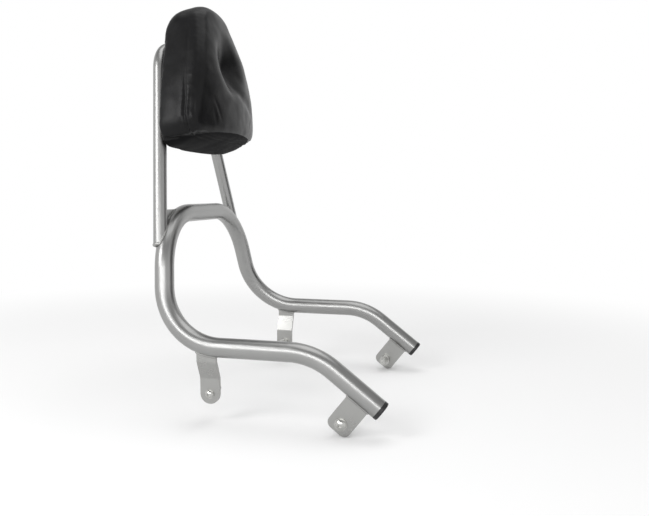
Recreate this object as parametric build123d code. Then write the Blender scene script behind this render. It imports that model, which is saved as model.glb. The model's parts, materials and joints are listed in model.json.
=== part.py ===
from build123d import *
import os
from math import asin, atan2, cos, degrees, radians, sin, sqrt, tan

# Sissy bar: tubular carrier, backrest hoop, leather pad and the bolts of its four mounting tabs.
# Millimetres. +X is forward, +Y is left and +Z is up. The origin lies on the mid-plane, on the
# common axis of the two rear mounting bolts.

# Carrier tube: side runs, splayed legs and the arch that joins them behind the seat
CARRIER_OD = 25.0
CARRIER_WALL = 2.0
RUN_HALF = 165.0
RUN_HEIGHT = 63.0
REAR_REACH = 58.0
CROWN_HEIGHT = 228.0
LEG_LEAN = 7.0
LEG_SPLAY = 15.2
FRONT_REACH = 140.0
FRONT_DROP = 37.9
FRONT_LEG = 102.0
ARCH_BEND = 95.0
REAR_BEND = 85.0
FRONT_BEND = 90.0

# Backrest hoop: follows the carrier's legs, set back behind them, with two bends at the top
HOOP_OD = 18.0
HOOP_WALL = 2.0
HOOP_SETBACK = 6.0
HOOP_RISE = 234.0
HOOP_BEND = 45.0
HOOP_LAP = 40.0

# Root gap left for the weld wherever a piece is cut to fit a tube
WELD_GAP = 0.2

# Gusset plate in the corner between hoop leg and arch
GUSSET_THICK = 4.0
GUSSET_RISE = 5.5
GUSSET_REACH = 40.0

# Mounting tabs
TAB_THICK = 5.0
REAR_TAB_WIDTH = 26.0
REAR_TAB_CRANK = 10.0
REAR_TAB_BEND_TOP = 44.0
REAR_TAB_BEND_FOOT = 21.0
REAR_TAB_BEND_RADIUS = 6.0
FRONT_TAB_WIDTH = 32.0
FRONT_TAB_ALONG = 79.0
FRONT_TAB_DROP = 45.6
FRONT_TAB_MARGIN = 11.5
FRONT_TAB_CORNER = 9.0

# Bolts: thread, button head and hexagon socket, with washer and spacer sleeve
REAR_THREAD = 6.0
REAR_HEAD_OD = 10.5
REAR_HEAD_HEIGHT = 3.3
REAR_SOCKET = 4.0
REAR_WASHER_OD = 12.0
REAR_SPACER_OD = 14.0
FRONT_THREAD = 8.0
FRONT_HEAD_OD = 14.0
FRONT_HEAD_HEIGHT = 4.4
FRONT_SOCKET = 5.0
FRONT_WASHER_OD = 16.0
FRONT_SPACER_OD = 16.0
WASHER_THICK = 1.6
SPACER_LENGTH = 10.0
BOLT_FREE_END = 16.0
THREAD_RELIEF = 0.2
TIP_CHAMFER = 0.1
HEAD_RIM = 0.25
SOCKET_DEPTH = 0.6
HOLE_CLEARANCE = 0.6
SLEEVE_CLEARANCE = 0.4

# End plug in the open front end of the carrier tube
PLUG_HEAD = 5.5
PLUG_EDGE = 2.0
PLUG_STEM = 15.0
PLUG_FINS = 3
PLUG_FIN_DEPTH = 1.8
PLUG_CLEARANCE = 0.1

# Pad: outline seen from the front, depth at its flanks, crown of its face and hollow of its tuft
PAD_RISE = 84.0
PAD_HEIGHT = 197.0
PAD_BOTTOM_HALF = 118.0
PAD_BOTTOM_SAG = 5.0
PAD_TOP_HALF = 36.0
PAD_FLANK_BOW = 10.0
PAD_CORNER = 25.0
PAD_TOP_CORNER = 50.0
PAD_TOP_USE = 0.9
PAD_DEPTH = 76.0
PAD_CROWN = 22.0
PAD_CROWN_HEIGHT = 84.0
PAD_SHOULDER = 50.0
PAD_LIFT = 14.0
PAD_FRONT_ROUND = 17.0
PAD_BACK_ROUND = 4.0
PAD_GAP = 0.3
TUFT_HEIGHT = 119.0
TUFT_REACH = 50.0
TUFT_DEPTH = 12.0
TUFT_ROUND = 40.0

# Base board let into the back of the cushion
BOARD_INSET = 9.0
BOARD_CORNER = 12.0
BOARD_THICK = 9.0
BOARD_CLEARANCE = 0.2

# Flat cross bars that carry the pad, with their screws and tee nuts
BAR_WIDTH = 25.0
BAR_THICK = 4.0
BAR_OVERLAP = 5.0
LOWER_BAR_RISE = 38.0
UPPER_BAR_RISE = 108.0
LOWER_SCREW_HALF = 45.0
UPPER_SCREW_HALF = 32.0
PAD_SCREW = 6.0
PAD_SCREW_HEAD_OD = 10.5
PAD_SCREW_HEAD_HEIGHT = 3.3
PAD_SCREW_SOCKET = 4.0
PAD_WASHER_OD = 12.0
PAD_SCREW_BITE = 9.0
TEE_FLANGE_OD = 18.0
TEE_FLANGE_THICK = 1.5
TEE_BARREL_OD = 8.0
TEE_BARREL_LENGTH = 8.0
TEE_CLEARANCE = 0.1

# Heights that follow the arch's crown and the pad's lower edge
HOOP_HEIGHT = CROWN_HEIGHT + HOOP_RISE
HOOP_FOOT = CROWN_HEIGHT - HOOP_LAP
GUSSET_TOP = CROWN_HEIGHT + GUSSET_RISE
PAD_BASE = CROWN_HEIGHT + PAD_RISE
LOWER_BAR_HEIGHT = PAD_BASE + LOWER_BAR_RISE
UPPER_BAR_HEIGHT = PAD_BASE + UPPER_BAR_RISE

CARRIER_R = CARRIER_OD / 2
HOOP_R = HOOP_OD / 2
LEAN_RUN = tan(radians(LEG_LEAN))
SPLAY_RUN = tan(radians(LEG_SPLAY))
INWARD = Vector(0, 1, 0)


def leg_point(height, setback=0.0):
    """Point on the right leg's line at a height, or on a line set back behind it."""
    rise = height - RUN_HEIGHT
    return Vector(-REAR_REACH - LEAN_RUN * rise - setback, SPLAY_RUN * rise - RUN_HALF, height)


def other_side(point):
    """The same point on the left side."""
    return Vector(point.X, -point.Y, point.Z)


FRONT_AXIS = Vector(cos(radians(FRONT_DROP)), 0, -sin(radians(FRONT_DROP)))
FRONT_CORNER = Vector(FRONT_REACH, -RUN_HALF, RUN_HEIGHT)
FRONT_END = FRONT_CORNER + FRONT_AXIS * FRONT_LEG


def mirrored(part):
    """Left-hand copy of a right-hand piece."""
    return mirror(part, about=Plane.XZ)


def tube_solid(path, radius):
    """Round bar of one radius along a path."""
    start = Plane(origin=path @ 0, z_dir=path % 0)
    return sweep(start * Circle(radius), path=path)


def hollow_tube(path, outer, wall):
    """Tube along a path."""
    return tube_solid(path, outer) - tube_solid(path, outer - wall)


def carrier_path():
    """Centre line from the right front end over the arch to the left front end."""
    right = [FRONT_END, FRONT_CORNER, leg_point(RUN_HEIGHT), leg_point(CROWN_HEIGHT)]
    bends = [FRONT_BEND, REAR_BEND, ARCH_BEND]
    left = [other_side(point) for point in reversed(right)]
    return FilletPolyline(*right, *left, radius=bends + bends[::-1])


def hoop_path():
    """Centre line of the hoop from foot to foot."""
    foot = leg_point(HOOP_FOOT, HOOP_SETBACK)
    top = leg_point(HOOP_HEIGHT, HOOP_SETBACK)
    return FilletPolyline(foot, top, other_side(top), other_side(foot), radius=[HOOP_BEND, HOOP_BEND])


def pad_plane(height, forward=0.0):
    """Plane that leans with the hoop, facing forward, its origin on the mid-plane at a height."""
    lean = radians(LEG_LEAN)
    axis_point = leg_point(height, HOOP_SETBACK)
    plane = Plane(
        origin=(axis_point.X, 0, height),
        x_dir=(0, 1, 0),
        z_dir=(cos(lean), 0, sin(lean)),
    )
    return plane.offset(forward)


def main_solid(part):
    """Largest solid of a cut piece."""
    return max(part.solids(), key=lambda solid: solid.volume)


def gusset(carrier_bar, hoop_bar):
    """Right gusset: a plate in the hoop's plane, cut to fit the leg and the arch."""
    plane = pad_plane(CROWN_HEIGHT, (HOOP_SETBACK - GUSSET_THICK) / 2)
    low = plane.to_local_coords(leg_point(HOOP_FOOT, HOOP_SETBACK))
    high = plane.to_local_coords(leg_point(GUSSET_TOP, HOOP_SETBACK))
    inner = high.X + GUSSET_REACH
    corners = [(low.X, low.Y), (high.X, high.Y), (inner, high.Y), (inner, 0)]
    plate = extrude(plane * make_face(Polyline(*corners, close=True)), GUSSET_THICK)
    return main_solid(plate - carrier_bar - hoop_bar)


def strip_face(points, thickness):
    """Face of even thickness along a bent line, with mitred bends."""
    left, right = [], []
    for index, point in enumerate(points):
        before = points[max(index - 1, 0)]
        after = points[min(index + 1, len(points) - 1)]
        entry = (point - before).normalized() if index else (after - point).normalized()
        leave = (after - point).normalized() if after is not point else entry
        mitre = (entry + leave).normalized()
        side = Vector(-mitre.Y, mitre.X) * (thickness / 2 / mitre.dot(entry))
        left.append(point + side)
        right.append(point - side)
    return make_face(Polyline(*left, *reversed(right), close=True))


def rear_tab_seat():
    """Mid-plane of the rear tab's lower end, measured from the object's mid-plane."""
    return RUN_HALF - REAR_TAB_CRANK


def rear_tab(carrier_bar):
    """Right rear tab: flat bar hung under the run and cranked inwards to its bolt."""
    seat = rear_tab_seat()
    line = [
        Vector(-RUN_HALF, RUN_HEIGHT),
        Vector(-RUN_HALF, REAR_TAB_BEND_TOP),
        Vector(-seat, REAR_TAB_BEND_FOOT),
        Vector(-seat, -REAR_TAB_WIDTH / 2),
    ]
    profile = strip_face(line, TAB_THICK)
    bends = [
        corner
        for corner in profile.vertices()
        if REAR_TAB_BEND_FOOT - TAB_THICK < corner.Y < REAR_TAB_BEND_TOP + TAB_THICK
    ]
    profile = fillet(bends, REAR_TAB_BEND_RADIUS)
    bar = extrude(Plane.YZ * profile, REAR_TAB_WIDTH / 2, both=True)
    half = REAR_TAB_WIDTH / 2
    blank = Pos(0, RUN_HEIGHT / 2) * Rectangle(REAR_TAB_WIDTH, RUN_HEIGHT) + Circle(half)
    depth = Plane.XZ * (blank - Circle((REAR_THREAD + HOLE_CLEARANCE) / 2))
    bar = bar & extrude(depth, RUN_HALF + CARRIER_OD)
    return main_solid(bar - carrier_bar)


def front_bolt_point():
    """Bolt hole of the right front tab, in the plane of the run."""
    down = Vector(FRONT_AXIS.Z, 0, -FRONT_AXIS.X)
    return FRONT_CORNER + FRONT_AXIS * FRONT_TAB_ALONG + down * FRONT_TAB_DROP


def front_tab(carrier_bar):
    """Right front tab: flat plate under the front leg, square to it."""
    length = FRONT_TAB_DROP + FRONT_TAB_MARGIN
    outline = Pos(0, -length / 2) * Rectangle(FRONT_TAB_WIDTH, length)
    outline = fillet(outline.vertices().group_by(Axis.Y)[0], FRONT_TAB_CORNER)
    hole = Pos(0, -FRONT_TAB_DROP) * Circle((FRONT_THREAD + HOLE_CLEARANCE) / 2)
    foot = FRONT_CORNER + FRONT_AXIS * FRONT_TAB_ALONG
    plane = Plane(origin=foot, x_dir=FRONT_AXIS, z_dir=(0, -1, 0))
    plate = extrude(plane * (outline - hole), TAB_THICK / 2, both=True)
    return main_solid(plate - carrier_bar)


def button_bolt(thread, head_od, head_height, socket, grip, free_end):
    """Button-head screw along +Z: under-head face at z = 0, shank and thread up, head below."""
    shank = extrude(Circle(thread / 2), grip)
    end = Pos(0, 0, grip) * extrude(Circle(thread / 2 - THREAD_RELIEF), free_end)
    shank += chamfer(end.edges().group_by(Axis.Z)[-1], thread * TIP_CHAMFER)
    rim = (head_od / 2, -head_height * HEAD_RIM)
    crown = (0, -head_height)
    dome_radius = (rim[0] ** 2 + (crown[1] - rim[1]) ** 2) / (2 * (rim[1] - crown[1]))
    outline = Polyline(crown, (0, 0), (head_od / 2, 0), rim)
    dome = RadiusArc(rim, crown, dome_radius)
    head = revolve(Plane.XZ * make_face(outline + dome), Axis.Z)
    hexagon = RegularPolygon(socket / 2, 6, major_radius=False)
    recess = extrude(Pos(0, 0, -head_height) * hexagon, head_height * SOCKET_DEPTH)
    return shank + head - recess


def ring(outer, inner, height):
    """Washer or sleeve standing on z = 0."""
    return extrude(Circle(outer / 2) - Circle(inner / 2), height)


def bolt_stack(point, seat, thread, head_od, head_height, socket, washer_od, spacer_od):
    """Right-hand bolt, washer and spacer at a tab whose mid-plane lies seat from the mid-plane."""
    outside = Vector(point.X, -seat - TAB_THICK / 2, point.Z)
    inside = Vector(point.X, TAB_THICK / 2 - seat, point.Z)
    outer_plane = Plane(origin=outside - INWARD * WASHER_THICK, x_dir=(1, 0, 0), z_dir=INWARD)
    inner_plane = Plane(origin=inside, x_dir=(1, 0, 0), z_dir=INWARD)
    grip = WASHER_THICK + TAB_THICK + SPACER_LENGTH
    bolt = outer_plane * button_bolt(thread, head_od, head_height, socket, grip, BOLT_FREE_END)
    washer = outer_plane * ring(washer_od, thread + SLEEVE_CLEARANCE, WASHER_THICK)
    spacer = inner_plane * ring(spacer_od, thread + SLEEVE_CLEARANCE, SPACER_LENGTH)
    return {"bolts": bolt, "washers": washer, "spacers": spacer}


def end_plug():
    """Right end plug: domed head on the tube's end and a finned stem in its bore."""
    bore_r = CARRIER_R - CARRIER_WALL
    fin_r = bore_r - PLUG_CLEARANCE
    core_r = fin_r - PLUG_FIN_DEPTH
    pitch = PLUG_STEM / PLUG_FINS
    plane = Plane(origin=FRONT_END, z_dir=FRONT_AXIS)
    head = extrude(Circle(CARRIER_R), PLUG_HEAD)
    head = fillet(head.edges().group_by(Axis.Z)[-1], PLUG_EDGE)
    stem = extrude(Circle(core_r), -PLUG_STEM)
    for fin in range(PLUG_FINS):
        base = Pos(0, 0, -pitch * (fin + 1))
        stem += base * Cone(core_r, fin_r, pitch / 2, align=(Align.CENTER, Align.CENTER, Align.MIN))
    return plane * (head + stem)


def pad_outline(inset=0.0):
    """Pad seen from the front, or an inset of it: sagging bottom, bowed flanks, narrow round top."""
    taper = atan2(PAD_BOTTOM_HALF - PAD_TOP_HALF, PAD_HEIGHT - PAD_BOTTOM_SAG)
    sideways = inset / cos(taper)
    low_x = PAD_BOTTOM_HALF - sideways - inset * tan(taper)
    low_y = PAD_BOTTOM_SAG + inset
    high_x = PAD_TOP_HALF - sideways + inset * tan(taper)
    high_y = PAD_HEIGHT - inset
    flank_x = (PAD_BOTTOM_HALF + PAD_TOP_HALF) / 2 + PAD_FLANK_BOW - sideways
    flank_y = (PAD_BOTTOM_SAG + PAD_HEIGHT) / 2
    bottom = ThreePointArc((-low_x, low_y), (0, inset), (low_x, low_y))
    right = ThreePointArc((low_x, low_y), (flank_x, flank_y), (high_x, high_y))
    top = Line((high_x, high_y), (-high_x, high_y))
    left = ThreePointArc((-high_x, high_y), (-flank_x, flank_y), (-low_x, low_y))
    face = make_face([bottom, right, top, left])
    face = fillet(face.vertices().group_by(Axis.Y)[0], PAD_CORNER - inset)
    top_turn = radians(90) - taper - 4 * PAD_FLANK_BOW / PAD_HEIGHT
    most = PAD_TOP_USE * high_x / tan(top_turn / 2)
    return fillet(face.vertices().group_by(Axis.Y)[-1], min(PAD_TOP_CORNER - inset, most))


def pad_profile():
    """Room for the pad seen from the side: upright back with a round shoulder under the top."""
    rise = PAD_DEPTH * tan(radians(PAD_LIFT))
    corners = [
        (0, -PAD_CORNER),
        (PAD_DEPTH, -PAD_CORNER),
        (PAD_DEPTH, PAD_HEIGHT + rise),
        (0, PAD_HEIGHT),
    ]
    face = make_face(Polyline(*corners, close=True))
    shoulder = face.vertices().group_by(Axis.X)[0].sort_by(Axis.Y)[-1]
    return fillet(shoulder, PAD_SHOULDER)


def crowned_ball(ball_r):
    """Ball that crowns the pad's face, round +Y, with the hollow of its tuft and a rolled rim there."""
    hollow_r = (TUFT_REACH**2 + TUFT_DEPTH**2) / (2 * TUFT_DEPTH)
    middle = ball_r - TUFT_DEPTH + hollow_r
    near = ball_r - TUFT_ROUND
    far = hollow_r + TUFT_ROUND
    along = (near**2 - far**2 + middle**2) / (2 * middle)
    aside = sqrt(near**2 - along**2)
    rise = degrees(atan2(aside, middle - along))
    fall = degrees(atan2(aside, along))
    dish = JernArc((0, ball_r - TUFT_DEPTH), (1, 0), hollow_r, rise)
    rim = JernArc(dish @ 1, dish % 1, TUFT_ROUND, -rise - fall)
    crown = JernArc(rim @ 1, rim % 1, ball_r, fall - 90)
    axis = Polyline(crown @ 1, (0, 0), dish @ 0)
    return Rot(0, 90, 0) * revolve(make_face([dish, rim, crown, axis]), Axis.Y)


def cushion_block():
    """Outer form of the cushion: flanks that rise forward and a face crowned like a large ball."""
    back = pad_plane(PAD_BASE, HOOP_R + PAD_GAP)
    side = Plane(origin=back.origin, x_dir=back.z_dir, z_dir=(0, -1, 0))
    lift = radians(PAD_LIFT)
    forward = back.z_dir * cos(lift) + back.y_dir * sin(lift)
    block = extrude(back * pad_outline(), PAD_DEPTH / cos(lift), dir=forward)
    ball_r = (PAD_BOTTOM_HALF**2 + PAD_CROWN**2) / (2 * PAD_CROWN)
    tilt = degrees(asin((TUFT_HEIGHT - PAD_CROWN_HEIGHT) / ball_r))
    ball_place = back * Pos(0, PAD_CROWN_HEIGHT, PAD_DEPTH - ball_r) * Rot(90 - tilt, 0, 0)
    block = main_solid(block & ball_place * crowned_ball(ball_r))
    face = max(block.faces().filter_by(GeomType.SPHERE), key=lambda f: f.area)
    block = fillet(face.outer_wire().edges(), PAD_FRONT_ROUND)
    rear = min(block.faces(), key=lambda f: back.to_local_coords(f.center()).Z)
    block = fillet(rear.edges(), PAD_BACK_ROUND)
    return main_solid(block & extrude(side * pad_profile(), PAD_BOTTOM_HALF, both=True))


def board_outline(room=0.0):
    """Base board seen from the front, or the pocket round it: the pad's inset up to its shoulder."""
    top = PAD_HEIGHT - PAD_SHOULDER + room
    below = Pos(0, top / 2) * Rectangle(2 * PAD_BOTTOM_HALF, top)
    face = pad_outline(BOARD_INSET - room) & below
    return fillet(face.vertices().group_by(Axis.Y)[-1], BOARD_CORNER + room)


def screw_points():
    """Height and half spacing of the pad's four screws, bar by bar."""
    return {
        "lower": (LOWER_BAR_HEIGHT, LOWER_SCREW_HALF),
        "upper": (UPPER_BAR_HEIGHT, UPPER_SCREW_HALF),
    }


def at_screws(forward, make):
    """Copies of one piece at the four screw axes, on planes a distance ahead of the hoop's axis."""
    copies = []
    for height, half in screw_points().values():
        plane = pad_plane(height, forward)
        for side in (-half, half):
            copies.append(plane * Pos(side, 0) * make())
    return copies


def cross_bar(height, screw_half, hoop_bar):
    """Flat bar between the hoop's legs, its face just proud of them, with two screw holes."""
    face = HOOP_R + PAD_GAP
    half = -leg_point(height).Y - BAR_OVERLAP
    plane = pad_plane(height, face - BAR_THICK)
    holes = Pos(-screw_half, 0) * Circle((PAD_SCREW + HOLE_CLEARANCE) / 2)
    holes += Pos(screw_half, 0) * Circle((PAD_SCREW + HOLE_CLEARANCE) / 2)
    bar = extrude(plane * (Rectangle(2 * half, BAR_WIDTH) - holes), BAR_THICK)
    return main_solid(bar - hoop_bar)


def tee_nut():
    """Tee nut along -Z from its flange at z = 0, flange forward."""
    barrel = extrude(Circle(TEE_BARREL_OD / 2), -TEE_BARREL_LENGTH)
    flange = extrude(Circle(TEE_FLANGE_OD / 2), TEE_FLANGE_THICK)
    bore = Pos(0, 0, -TEE_BARREL_LENGTH) * extrude(
        Circle(PAD_SCREW / 2 + TEE_CLEARANCE), TEE_BARREL_LENGTH + TEE_FLANGE_THICK
    )
    return barrel + flange - bore


def pad_pieces(hoop_bar):
    """Cushion, board, cross bars and the pad's fasteners."""
    back = HOOP_R + PAD_GAP
    board_front = back + BOARD_THICK
    bar_back = back - BAR_THICK
    back_plane = pad_plane(PAD_BASE, back)

    board = extrude(back_plane * board_outline(), BOARD_THICK)
    for hole in at_screws(back, lambda: extrude(Circle(TEE_BARREL_OD / 2 + TEE_CLEARANCE), BOARD_THICK)):
        board -= hole

    cushion = cushion_block()
    cushion -= extrude(back_plane * board_outline(BOARD_CLEARANCE), BOARD_THICK + BOARD_CLEARANCE)
    room = TEE_FLANGE_THICK + BOARD_CLEARANCE
    for flange in at_screws(board_front, lambda: extrude(Circle(TEE_FLANGE_OD / 2 + BOARD_CLEARANCE), room)):
        cushion -= flange

    def screw():
        return button_bolt(
            PAD_SCREW,
            PAD_SCREW_HEAD_OD,
            PAD_SCREW_HEAD_HEIGHT,
            PAD_SCREW_SOCKET,
            WASHER_THICK + BAR_THICK,
            PAD_SCREW_BITE,
        )

    def washer():
        return ring(PAD_WASHER_OD, PAD_SCREW + SLEEVE_CLEARANCE, WASHER_THICK)

    pieces = {"pad_board": board, "pad_cushion": cushion}
    for name, (height, half) in screw_points().items():
        pieces[f"pad_bar_{name}"] = cross_bar(height, half, hoop_bar)
    pieces["pad_screws"] = Compound(at_screws(bar_back - WASHER_THICK, screw))
    pieces["pad_washers"] = Compound(at_screws(bar_back - WASHER_THICK, washer))
    pieces["pad_tee_nuts"] = Compound(at_screws(board_front, tee_nut))
    return pieces


def mounting_bolts():
    """Bolts, washers and spacers of the four tabs, each kind with its right and left piece."""
    rear = bolt_stack(
        Vector(0, 0, 0),
        rear_tab_seat(),
        REAR_THREAD,
        REAR_HEAD_OD,
        REAR_HEAD_HEIGHT,
        REAR_SOCKET,
        REAR_WASHER_OD,
        REAR_SPACER_OD,
    )
    front = bolt_stack(
        front_bolt_point(),
        RUN_HALF,
        FRONT_THREAD,
        FRONT_HEAD_OD,
        FRONT_HEAD_HEIGHT,
        FRONT_SOCKET,
        FRONT_WASHER_OD,
        FRONT_SPACER_OD,
    )
    pieces = {}
    for place, stack in (("rear", rear), ("front", front)):
        for kind, part in stack.items():
            pieces[f"{place}_{kind}"] = Compound([part, mirrored(part)])
    return pieces


def all_pieces():
    """Every node of the object by name."""
    carrier_line = carrier_path()
    hoop_line = hoop_path()
    carrier_bar = tube_solid(carrier_line, CARRIER_R + WELD_GAP)
    hoop_bar = tube_solid(hoop_line, HOOP_R + WELD_GAP)
    right_hand = {
        "gusset": gusset(carrier_bar, hoop_bar),
        "rear_tab": rear_tab(carrier_bar),
        "front_tab": front_tab(carrier_bar),
        "end_plug": end_plug(),
    }
    pieces = {
        "carrier_tube": hollow_tube(carrier_line, CARRIER_R, CARRIER_WALL),
        "backrest_hoop": main_solid(hollow_tube(hoop_line, HOOP_R, HOOP_WALL) - carrier_bar),
    }
    for name, part in right_hand.items():
        pieces[f"{name}_right"] = part
        pieces[f"{name}_left"] = mirrored(part)
    pieces.update(pad_pieces(hoop_bar))
    pieces.update(mounting_bolts())
    return pieces


def main():
    """Write one STEP file for each piece."""
    os.makedirs("parts", exist_ok=True)
    for name, part in all_pieces().items():
        export_step(part, f"parts/{name}.step")


if __name__ == "__main__":
    main()
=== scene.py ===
import json
from math import cos, exp, pi, radians, sin, tan

import bpy
from bpy.props import FloatProperty, FloatVectorProperty, IntProperty, PointerProperty
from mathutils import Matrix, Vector, noise


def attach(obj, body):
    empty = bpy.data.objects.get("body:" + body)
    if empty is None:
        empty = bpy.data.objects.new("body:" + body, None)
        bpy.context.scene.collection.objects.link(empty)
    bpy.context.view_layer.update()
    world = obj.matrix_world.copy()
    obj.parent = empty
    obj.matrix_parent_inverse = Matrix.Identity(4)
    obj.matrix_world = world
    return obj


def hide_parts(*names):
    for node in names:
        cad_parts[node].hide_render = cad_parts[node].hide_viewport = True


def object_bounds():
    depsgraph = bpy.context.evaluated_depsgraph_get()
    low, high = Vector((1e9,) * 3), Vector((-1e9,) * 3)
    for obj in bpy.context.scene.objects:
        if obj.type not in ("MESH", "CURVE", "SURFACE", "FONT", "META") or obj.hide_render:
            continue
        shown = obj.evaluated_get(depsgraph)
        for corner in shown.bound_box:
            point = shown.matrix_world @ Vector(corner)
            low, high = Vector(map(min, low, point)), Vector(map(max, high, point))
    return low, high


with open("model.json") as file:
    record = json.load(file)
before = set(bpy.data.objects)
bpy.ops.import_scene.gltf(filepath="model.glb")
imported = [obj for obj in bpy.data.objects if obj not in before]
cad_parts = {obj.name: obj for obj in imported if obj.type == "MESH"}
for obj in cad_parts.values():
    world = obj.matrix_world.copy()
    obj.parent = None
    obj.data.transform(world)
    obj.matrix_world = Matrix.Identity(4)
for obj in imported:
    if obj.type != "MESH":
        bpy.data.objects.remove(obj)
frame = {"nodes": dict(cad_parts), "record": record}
CAD_BOX = [[float(value) for value in corner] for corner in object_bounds()]

bl_info = {
    "name": "Sissy Bar",
    "version": (1, 0, 0),
    "blender": (4, 5, 0),
    "location": "View3D > Sidebar > Sissy Bar",
    "description": "Stuffed cushion, weld beads, bolt threads and finishes of a sissy bar",
    "category": "Add Mesh",
}

MM = 0.001
# Points of a copied node and of a rod that lie nearer than this are merged, in millimetres
NODE_MERGE, ROD_MERGE = 0.01, 0.005

# Tube route, mounting tabs, cross bars and pad, as in the part's source, in millimetres
LEG_LEAN = 7.0
LEG_SPLAY = 15.2
RUN_HALF = 165.0
RUN_HEIGHT = 63.0
REAR_REACH = 58.0
HOOP_R = 9.0
HOOP_SETBACK = 6.0
HOOP_FOOT = 188.0
FRONT_REACH = 140.0
FRONT_DROP = 37.9
FRONT_TAB_ALONG = 79.0
TAB_THICK = 5.0
REAR_TAB_WIDTH = 26.0
FRONT_TAB_WIDTH = 32.0
BAR_WIDTH = 25.0
BAR_FACE = 5.3
BAR_HEIGHTS = (350.0, 420.0)
PAD_BASE = 312.0
PAD_SET = 9.3
TUFT_HEIGHT = 119.0
GUSSET_TOP = 233.5
GUSSET_THICK = 4.0
SIDES = (-1, 1)  # right and left

# Places on the pad in millimetres: across to the left, up from its base, deep out from its back.
# In a pair, something begins at the first value and is complete at the second. A turn is the
# cosine between a face's normal and one of the pad's own directions.
HELD_DEPTH = (2.0, 12.0)
OFF_BACK = (1.0, 8.0)
FACE_DEPTH = (22.0, 46.0)
FACE_TURN = (0.45, 0.85)
FLANK_TURN = (0.55, 0.85)
BACK_TURN, BACK_DEPTH = -0.99, 0.05
UNDER_TURN = -0.5
POCKET_CLEAR = 6.0
TUFT_WIDTH = 15.0
SAG_ACROSS, SAG_WIDTH = -6.0, 20.0
SAG_UP, SAG_HEIGHT = 110.0, 28.0
LONG_WAVE, SHORT_WAVE, SHORT_SHARE = 34.0, 15.0, 0.5
# Fuller shoulders: height and its spread, depth and its spread, share
SHOULDERS = ((183.0, 22.0, 15.0, 17.0, 1.0), (182.0, 17.0, 64.0, 13.0, 0.8))
SHOULDER_LEAN = 0.25
PANEL_DEPTH, PANEL_WIDTH = 18.0, 16.0
PANEL_FOOT, PANEL_END = (0.0, 16.0), (60.0, 118.0)
# Valleys from the tuft: side and share, then the line that they follow and where they begin and end
VALLEYS = ((-1, 0.35), (1, 1.0))
VALLEY_START, VALLEY_FALL, VALLEY_CURVE = 88.0, 0.5, 0.0018
VALLEY_BEGIN, VALLEY_END = (-8.0, 30.0), (50.0, 96.0)
VALLEY_WIDTH = 9.0
# Small slits by the corners: across, lean, foot, where they begin, where they end, share
SLITS = (
    (54.0, 0.5, 38.0, (30.0, 46.0), (54.0, 70.0), 0.17),
    (64.0, 0.3, 30.0, (22.0, 38.0), (42.0, 58.0), 0.11),
)
SLIT_WIDTH = 3.4
# Seam between side panel and front panel, its raised lips and its puckers
SEAM_DEPTH, SEAM_WIDTH = 40.0, 1.9
SEAM_WANDER, SEAM_WAVE = 0.5, 9.0
SEAM_FOOT, SEAM_FADE, SEAM_END = (10.0, 17.0), (52.0, 104.0), (150.0, 175.0)
SEAM_FADED = 0.9
LIP_GAP, LIP_WIDTH, LIP_SHARE = 4.5, 2.6, 0.3
PUCKER_GAP, PUCKER_RATE, PUCKER_SHARE = 3.6, 0.75, 0.05
# Folds in front of the seam: distance from it and share
FOLDS = ((7.0, 0.6), (13.5, 0.4))
FOLD_FOOT, FOLD_END = (8.0, 18.0), (44.0, 74.0)
FOLD_WIDTH, FOLD_WANDER, FOLD_WAVE = 2.0, 0.8, 11.0
# Hem round the underside
HEM_HEIGHT, HEM_RISE, HEM_BEND = 15.5, 0.2, (36.0, 44.0)
HEM_SIDE, HEM_BACK, HEM_FRONT = (70.0, 92.0), (1.0, 6.0), (60.0, 70.0)
HEM_SHARE, HEM_LIP = 0.9, 0.25
STUFFING_FRAMES = 20
SMOOTH_ANGLE = radians(50)

# Weld lines in millimetres, which are thrown onto the tubes from a clear place
FOOT_CAST, FOOT_STEPS = 270.0, 240
PLATE_CAST, EDGE_STEPS = 30.0, 20
BAR_HALF = 1.2
GUSSET_CAST, GUSSET_DROP = 6.0, 25.0
# Points a millimetre apart down the leg and along the arch, and where the arch's begin
GUSSET_LEG, GUSSET_ARCH, GUSSET_START = 13, 25, 1
FEWEST_POINTS = 4
# Beads: how far they sink into the foot, points in a ripple, share of the radius on the bars
BEAD_INSET, BEAD_STEPS, BAR_BEAD = 1.3, 5, 0.8
BEAD_ROUNDNESS = 3
# Radius of a thread's ridge as a share of its pitch
THREAD_SHARE = 0.3

# Studio in metres
FLOOR_SIZE = 14.0
FLOOR_GAP = 0.5 * MM
FLOOR_FADE = (0.4, 1.3)
CEILING_RISE = (0.34, 0.8)
# Lights: place, width and height
KEY_LIGHT = ((0.08, -1.75, 0.78), 1.85, 0.4)
SIDE_LIGHT = ((-0.95, -1.25, 1.2), 0.7, 0.7)
OVERHEAD_LIGHT = ((0.2, 0.2, 1.9), 1.6, 1.6)
LIGHT_AIM = (-0.02, 0.0, 0.25)
CARD_SIZE = 1.35
CARD_PLACE = (1.59, 0.85, 0.7)
CARD_TURN = (0, radians(90), radians(28))
CAMERA_PLACE = (0.3532, -0.9366, 0.2561)
CAMERA_DOWN, CAMERA_TURN = 5.5, 14.5
FOCUS_PIXELS, IMAGE_PIXELS, SENSOR = 674.0, 649.0, 36.0

LEAN = radians(LEG_LEAN)
PAD_NORMAL = Vector((cos(LEAN), 0.0, sin(LEAN)))
PAD_UP = Vector((-sin(LEAN), 0.0, cos(LEAN)))


def linear(hex_code):
    """Linear RGB of an sRGB hex colour."""
    channels = [int(hex_code[i : i + 2], 16) / 255 for i in (1, 3, 5)]
    return tuple(c / 12.92 if c <= 0.04045 else ((c + 0.055) / 1.055) ** 2.4 for c in channels)


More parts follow.
